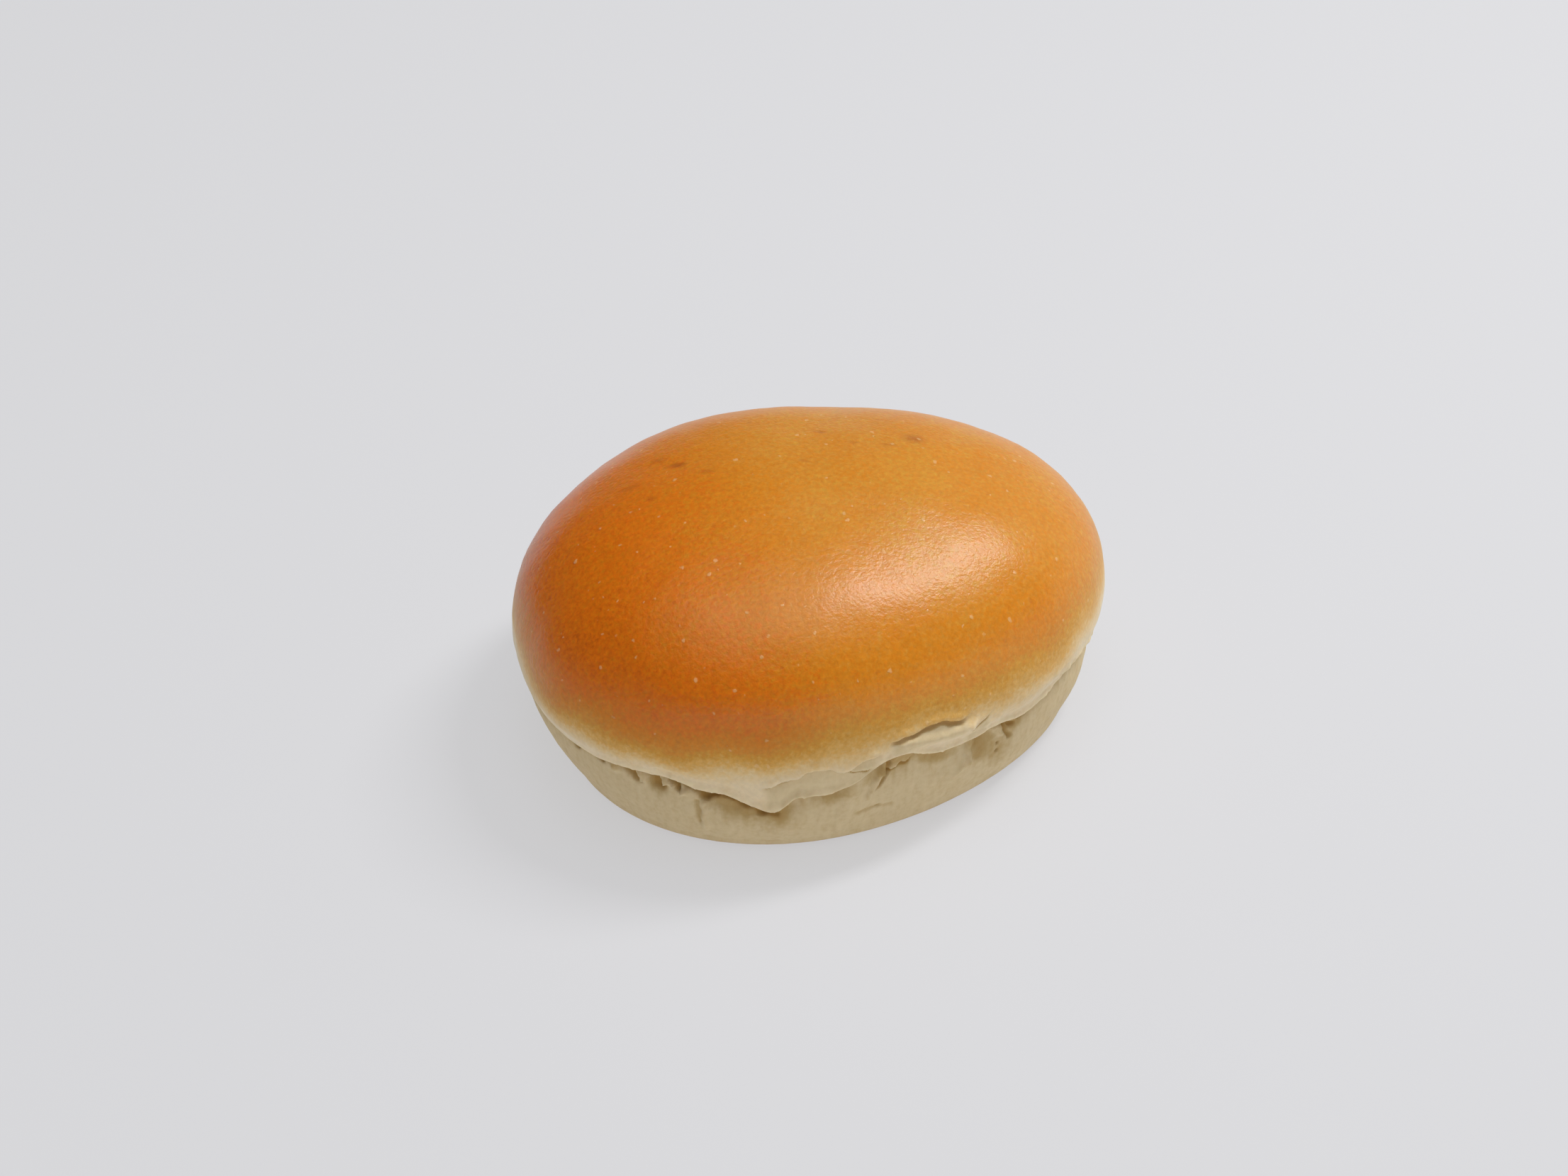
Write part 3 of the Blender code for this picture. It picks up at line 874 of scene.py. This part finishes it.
        # The lip's edge is a ragged bead of crumb, with a faint crease above it.
        rise = at[:, 2] - seam
        ragged = 0.26 * grain(along, (5.0, 1.0, 1.0), 9.9)
        ragged += (0.46 * grain(along, (1.5, 1.0, 1.0), 2.9) + 0.30 * grain(along, (0.7, 1.0, 1.0), 6.2)) * (1 - shut)
        bead = (0.35 + 0.8 * ragged) * np.exp(-(((rise - 0.8) / 0.7) ** 2)) - 0.18 * np.exp(-(((rise - 2.6) / 0.9) ** 2))
        marks = self.seam.carve(frayed * (1.0, 0.5) + spread[:, :2] * (0.0, 0.5), angle, Side.CRUST)
        moved += outward * ((marks.out + bead * (1 - shut)) * on_crust)[:, None]
        moved[:, 2] -= marks.down * on_crust
        moved[:, 2] += ragged * np.exp(-np.abs(rise) / 1.2) * (ring <= lip_rings) * (1 - shut)
        torn_edge = (1 - smooth(rise + 0.9 * grain(spread, (2.2, 1.2, 1.0), 7.7), 0.3, 2.0)) * (1 - 0.6 * shut)
        bare = np.maximum(marks.bare, torn_edge) * on_crust
        # Painted shade on the crust side: in the tears, and a little on all torn crumb.
        painted_shade = np.maximum(marks.painted_shade, 0.30 * marks.bare) * on_crust

        # Under it the wall is drawn into short upright fibres and tufts, and its colour carries painted shade, deepest
        # just under the lip.
        marks = self.seam.carve(frayed, angle, Side.WALL)
        lip_shadow = (1 - smooth(-rise, 1.8, 4.6)) * (1 - shut) * np.clip(0.8 + grain(along, (7.0, 1.0, 1.0), 2.4), 0.2, 1.4)
        near_seam = np.exp(-np.maximum(-rise, 0.0) / 6.0) * (1 - shut)
        torn = 0.24 * grain(spread, (2.0, 9.0, 1.0), 1.7) + 0.30 * grain(spread, (4.5, 5.0, 1.0), 6.3)
        torn += 0.16 * grain(spread, (1.3, 1.6, 1.0), 3.6)
        moved += outward * ((marks.out + torn * near_seam) * on_wall)[:, None]
        moved[:, 2] -= marks.down * on_wall
        moved[:, 2] = np.maximum(moved[:, 2], 0.0)
        # Painted shade in the groove under the lip, and on the wall: its set tone, more just under the lip, and the
        # marks' painted shade.
        groove_shade = smooth(ring, crust_rings + 3, crust_rings + 6) * (1 - smooth(ring, lip_rings, lip_rings + 5))
        is_wall = smooth(ring, crust_rings + 3, crust_rings + 8)
        wall_shade = self.wall_shade + 0.30 * lip_shadow + marks.painted_shade
        painted_shade = np.maximum(painted_shade, np.maximum(wall_shade * is_wall, 0.95 * groove_shade * (1 - shut)))

        bare = np.maximum(bare, smooth(ring, crust_rings + 1, crust_rings + Band.EDGE.value))
        self.keep(mesh, "bare", bare)
        self.keep(mesh, "painted_shade", painted_shade)
        self.keep(mesh, "browning", self.browning(moved, angle, bare))
        self.keep(mesh, "tray", smooth(ring, wall_rings + 1.0, wall_rings + Band.FOOT.value + 2.0))
        return moved

    def browning(self, at: Array, angle: Array, bare: Array) -> Array:
        """How browned each point is, from 0 for pale skin to 1 for the deepest orange brown.

        Args:
            at: The points in millimetres.
            angle: Their angles.
            bare: How far each is torn crumb.

        Returns:
            The browning, deepest towards the -X end and along the dome's shoulder.
        """
        edge = through(self.browning_edge, angle) + 1.0 * grain(at, (9.0, 9.0, 9.0), 4.4)
        brown = smooth(at[:, 2], 0.0, 1.0) * smooth(at[:, 2] - edge, -self.browning_fade[0], self.browning_fade[1])
        depth = mix(1.0, 0.40, smooth(at[:, 0], -60.0, 8.0))
        shoulder = 0.12 * np.exp(-(((at[:, 2] - 39.0) / 6.0) ** 2)) * smooth(-at[:, 1], 20.0, 38.0)
        patches = 0.05 * grain(at, (16.0, 16.0, 12.0), 2.2)
        return np.clip(brown * (depth + shoulder + patches), 0.0, 1.0) * (1 - bare)

    def keep(self, mesh: bpy.types.Mesh, name: str, values: Array) -> None:
        """Keeps a number on every point as a named attribute."""
        mesh.attributes.new(name, "FLOAT", "POINT").data.foreach_set("value", values.astype(np.float32))

    def build(self) -> bpy.types.Object:
        """Builds, fits and dresses the roll, and ties it to the frame."""
        mesh = self.skin()
        points = self.shape(mesh)
        low, high = points.min(axis=0), points.max(axis=0)
        size = np.array((self.high - self.low)[:]) / MM
        middle = np.array([(low[0] + high[0]) / 2, (low[1] + high[1]) / 2, low[2]])
        points = (points - middle) * size / (high - low)
        ground = np.array([(self.low.x + self.high.x) / 2, (self.low.y + self.high.y) / 2, self.low.z])
        mesh.vertices.foreach_set("co", (points * MM + ground).ravel())
        mesh.update()
        mesh.materials.append(BakedDough().build())
        roll = bpy.data.objects.new("glazed_roll", mesh)
        bpy.context.scene.collection.objects.link(roll)
        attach(roll, "root")
        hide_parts(NODE)
        return roll


# ---------------------------------------------------------------- the studio


@dataclass
class Studio:
    """A bright table under one large soft light from behind on the right, with a bright side to the room there."""

    centre: Vector
    azimuth: float = -19.4
    elevation: float = 40.0
    distance: float = 0.520
    lens: float = 61.36
    sensor: float = 36.0
    aim_right: float = -0.00429
    aim_up: float = 0.00608
    light_azimuth: float = 9.0  # round from +X
    light_elevation: float = 57.0
    light_distance: float = 0.9
    light_size: tuple[float, float] = (0.115, 0.42)
    light_power: float = 5.0
    room: float = 0.06  # how bright the darkest part of the room is
    ceiling: float = 2.2  # how much brighter it is overhead
    ceiling_elevation: float = 90.0
    ceiling_tightness: float = 12.0
    horizon: float = 1.75  # how much brighter it is level with the table
    horizon_tightness: float = 3.5
    lit_side: float = -75.0  # the side where it is brightest, round from +X
    window: float = 0.18  # how much brighter it is towards its window side
    window_azimuth: float = 45.0
    window_elevation: float = 20.0
    table_tone: str = "#808082"
    table_glow: float = 0.50

    def direction(self, azimuth: float, elevation: float) -> Vector:
        """The unit vector at this azimuth from +X and elevation."""
        a, e = math.radians(azimuth), math.radians(elevation)
        return Vector((math.cos(a) * math.cos(e), math.sin(a) * math.cos(e), math.sin(e)))

    def aim(self, thing: bpy.types.Object, at: Vector) -> None:
        """Turns a camera or a light so that it looks at a point."""
        thing.rotation_euler = (at - thing.location).to_track_quat("-Z", "Y").to_euler()

    def camera(self) -> None:
        """The camera, with the roll a little right of and below the middle of its view."""
        back = self.direction(self.azimuth - 90.0, self.elevation)
        right = Vector((math.cos(math.radians(self.azimuth)), math.sin(math.radians(self.azimuth)), 0.0))
        data = bpy.data.cameras.new("camera")
        data.lens, data.sensor_width = self.lens, self.sensor
        data.clip_start, data.clip_end = 0.01, 20.0
        camera = bpy.data.objects.new("camera", data)
        camera.location = self.centre + back * self.distance
        self.aim(camera, self.centre + right * self.aim_right + back.cross(right) * self.aim_up)
        bpy.context.scene.collection.objects.link(camera)
        bpy.context.scene.camera = camera

    def table(self) -> None:
        """The pale matt table. It glows a little, as a glossy white plate does under a window."""
        bm = bmesh.new()
        bmesh.ops.create_grid(bm, x_segments=1, y_segments=1, size=4.0)
        mesh = bpy.data.meshes.new("table")
        bm.to_mesh(mesh)
        bm.free()
        material = bpy.data.materials.new("matt_white_table")
        material.use_nodes = True
        shader = material.node_tree.nodes["Principled BSDF"]
        shader.inputs["Base Color"].default_value = linear(self.table_tone)
        shader.inputs["Roughness"].default_value = 0.9
        shader.inputs["Specular IOR Level"].default_value = 0.1
        shader.inputs["Emission Color"].default_value = (1.0, 1.0, 1.02, 1.0)
        shader.inputs["Emission Strength"].default_value = self.table_glow
        mesh.materials.append(material)
        table = bpy.data.objects.new("table", mesh)
        bpy.context.scene.collection.objects.link(table)

    def key(self) -> None:
        """The soft light."""
        data = bpy.data.lights.new("softbox", "AREA")
        data.shape, data.size, data.size_y = "RECTANGLE", *self.light_size
        data.energy = self.light_power
        light = bpy.data.objects.new("softbox", data)
        light.location = self.centre + self.direction(self.light_azimuth, self.light_elevation) * self.light_distance
        self.aim(light, self.centre)
        bpy.context.scene.collection.objects.link(light)

    def surroundings(self) -> None:
        """The room: dim, and brighter towards its window side."""
        world = bpy.data.worlds.new("studio")
        bpy.context.scene.world = world
        world.use_nodes = True
        tree = world.node_tree
        tree.nodes.clear()
        place = add(tree, "TexCoord").outputs["Generated"]
        towards = add(tree, "VectorMath", {
            "operation": "DOT_PRODUCT", 1: self.direction(self.window_azimuth, self.window_elevation)}, {0: place})
        near = add(tree, "Math", {"operation": "MAXIMUM", 1: 0.0}, {0: towards.outputs["Value"]})
        lobe = add(tree, "Math", {"operation": "POWER", 1: 4.0}, {0: near.outputs[0]})
        level = add(tree, "Math", {"operation": "MULTIPLY_ADD", 1: self.window, 2: self.room}, {0: lobe.outputs[0]})
        height = add(tree, "SeparateXYZ", links={"Vector": place}).outputs["Z"]
        low = add(tree, "Math", {"operation": "SUBTRACT", 0: 1.0, "use_clamp": True}, {1: height})
        band = add(tree, "Math", {"operation": "POWER", 1: self.horizon_tightness}, {0: low.outputs[0]})
        facing = add(tree, "VectorMath", {
            "operation": "DOT_PRODUCT", 1: self.direction(self.lit_side, 0.0) * 0.5}, {0: place})
        share = add(tree, "Math", {"operation": "ADD", 1: 0.5, "use_clamp": True}, {0: facing.outputs["Value"]})
        band = add(tree, "Math", {"operation": "MULTIPLY"}, {0: band.outputs[0], 1: share.outputs[0]})
        level = add(tree, "Math", {"operation": "MULTIPLY_ADD", 1: self.horizon},
                    {0: band.outputs[0], 2: level.outputs[0]})
        towards = add(tree, "VectorMath", {
            "operation": "DOT_PRODUCT", 1: self.direction(self.light_azimuth, self.ceiling_elevation)}, {0: place})
        near = add(tree, "Math", {"operation": "MAXIMUM", 1: 0.0}, {0: towards.outputs["Value"]})
        cap = add(tree, "Math", {"operation": "POWER", 1: self.ceiling_tightness}, {0: near.outputs[0]})
        level = add(tree, "Math", {"operation": "MULTIPLY_ADD", 1: self.ceiling},
                    {0: cap.outputs[0], 2: level.outputs[0]})
        background = add(tree, "Background", {"Color": (1.0, 1.0, 1.02, 1.0)}, {"Strength": level.outputs[0]})
        add(tree, "OutputWorld", links={"Surface": background.outputs[0]})

    def build(self) -> None:
        """Sets up the camera, the table and the light."""
        self.camera()
        self.table()
        self.key()
        self.surroundings()
        bpy.context.scene.view_settings.view_transform = "Standard"


def main() -> None:
    """Builds the roll round the frame, and the studio round the roll."""
    logging.basicConfig(level=logging.INFO, format="%(name)s: %(message)s")
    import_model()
    low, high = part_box(NODE)
    roll = BreadRoll(low, high).build()
    LOG.info("%s: %d faces", roll.name, len(roll.data.polygons))
    Studio(centre=Vector((-0.00173, -0.00008, 0.020))).build()
    LOG.info("camera, table and light")


if __name__ == "__main__":
    main()
